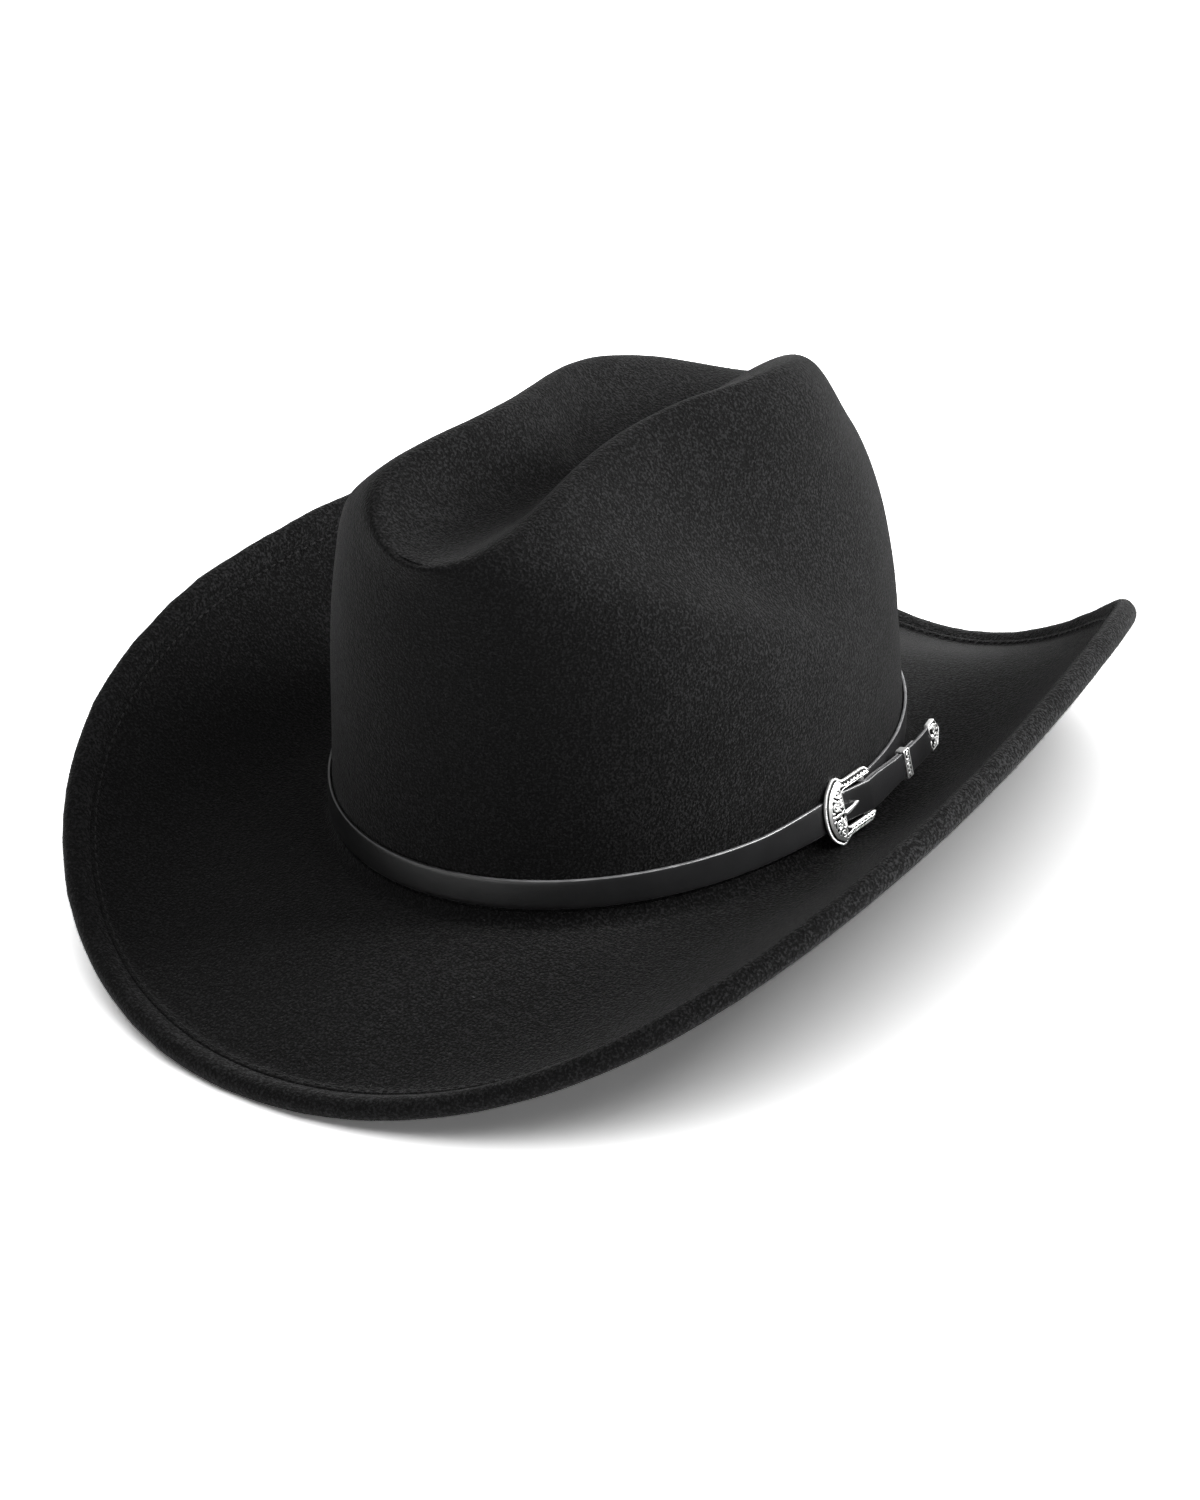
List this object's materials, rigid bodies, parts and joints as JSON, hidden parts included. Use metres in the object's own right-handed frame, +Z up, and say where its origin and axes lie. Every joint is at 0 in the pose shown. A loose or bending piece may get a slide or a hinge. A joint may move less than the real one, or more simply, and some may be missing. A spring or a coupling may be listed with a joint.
{
  "type": "cowboy hat",
  "caption": "Felt western hat with a creased crown, a curled brim with a wired hem, a sweatband and a strap hatband with a buckle set.",
  "frame": {"origin": "on the ground under the middle of the hat's box; the brim's front and back dips rest on z = 0", "axes": "+Z up, the front of the hat points along -Y, the wearer's left along +X"},
  "size_m": [0.2902, 0.369, 0.1651],
  "materials": {
    "felt": "fine brushed wool felt",
    "wire": "plain drawn wire",
    "thread": "twisted thread",
    "sweatband": "soft satin leather",
    "reed": "covered cord",
    "tape": "ribbed tape",
    "strap": "glossy smooth leather",
    "buckle": "worn engraved silver plate with dark recesses"
  },
  "bodies": {
    "hat": {"crown": "felt", "brim": "felt", "brim_hem": "felt", "brim_wire": "wire", "brim_hem_stitching": "thread", "sweatband": "sweatband", "sweatband_reed": "reed", "sweatband_joint_tape": "tape", "sweatband_stitching": "thread", "hatband_strap": "strap", "fold_stitching": "thread", "strap_tip": "buckle"},
    "buckle": {"buckle_frame": "buckle", "buckle_bar": "buckle"},
    "prong": {"buckle_prong": "buckle"},
    "keeper": {"strap_keeper": "buckle"}
  },
  "joints": [
    {"name": "buckle_swing", "type": "hinge", "parent": "hat", "child": "buckle", "pos_m": [0.08447, 0.02404, 0.0367], "axis": [-0.2067, -0.0226, 0.9781], "range_deg": [0, 15]},
    {"name": "prong_swing", "type": "hinge", "parent": "buckle", "child": "prong", "pos_m": [0.08447, 0.02404, 0.0367], "axis": [-0.2067, -0.0226, 0.9781], "range_deg": [0, 20]},
    {"name": "keeper_slide", "type": "slide", "parent": "hat", "child": "keeper", "axis": [0.1086, -0.9941, 0], "range_m": [-0.003, 0.003]}
  ]
}
